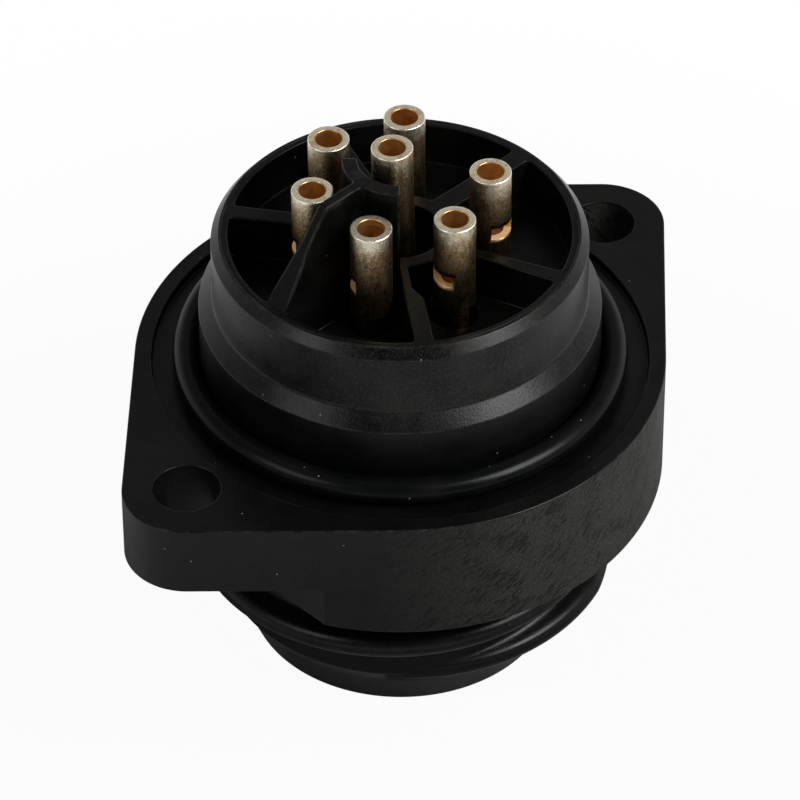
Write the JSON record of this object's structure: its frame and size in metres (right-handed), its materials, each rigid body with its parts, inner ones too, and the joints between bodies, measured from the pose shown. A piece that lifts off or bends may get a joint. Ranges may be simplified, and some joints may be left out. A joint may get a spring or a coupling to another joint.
{
  "type": "circular flange connector",
  "caption": "Black plastic circular industrial connector with a two-hole flange, threaded nose, panel seal and crimp contacts between the ribs of its wiring side.",
  "frame": {"origin": "on the connector's axis, at the flange face that lies against the panel and carries the seal", "axes": "+Z along the axis to the wiring side; X through both fixing holes, +X towards the key and the wide gap between contacts"},
  "size_m": [0.0396, 0.0296, 0.0331],
  "materials": {
    "housing_plastic": "black glass-filled polyamide, moulded, satin, rougher where the sprue side drags",
    "insert_plastic": "black polyamide, moulded, satin",
    "seal_rubber": "black nitrile rubber, smooth with a soft sheen",
    "contact_metal": "turned copper alloy with a thin silver plating, tarnished in blotches, copper-coloured inside the wire bore",
    "clip_metal": "stamped spring bronze strip"
  },
  "bodies": {
    "root": {"housing": "housing_plastic", "contact_insert": "insert_plastic", "panel_seal": "seal_rubber", "contact_1": "contact_metal", "contact_2": "contact_metal", "contact_3": "contact_metal", "contact_4": "contact_metal", "contact_5": "contact_metal", "contact_6": "contact_metal", "contact_earth": "contact_metal", "clip_1": "clip_metal", "clip_2": "clip_metal", "clip_3": "clip_metal", "clip_4": "clip_metal", "clip_5": "clip_metal", "clip_6": "clip_metal", "clip_earth": "clip_metal"}
  },
  "joints": []
}
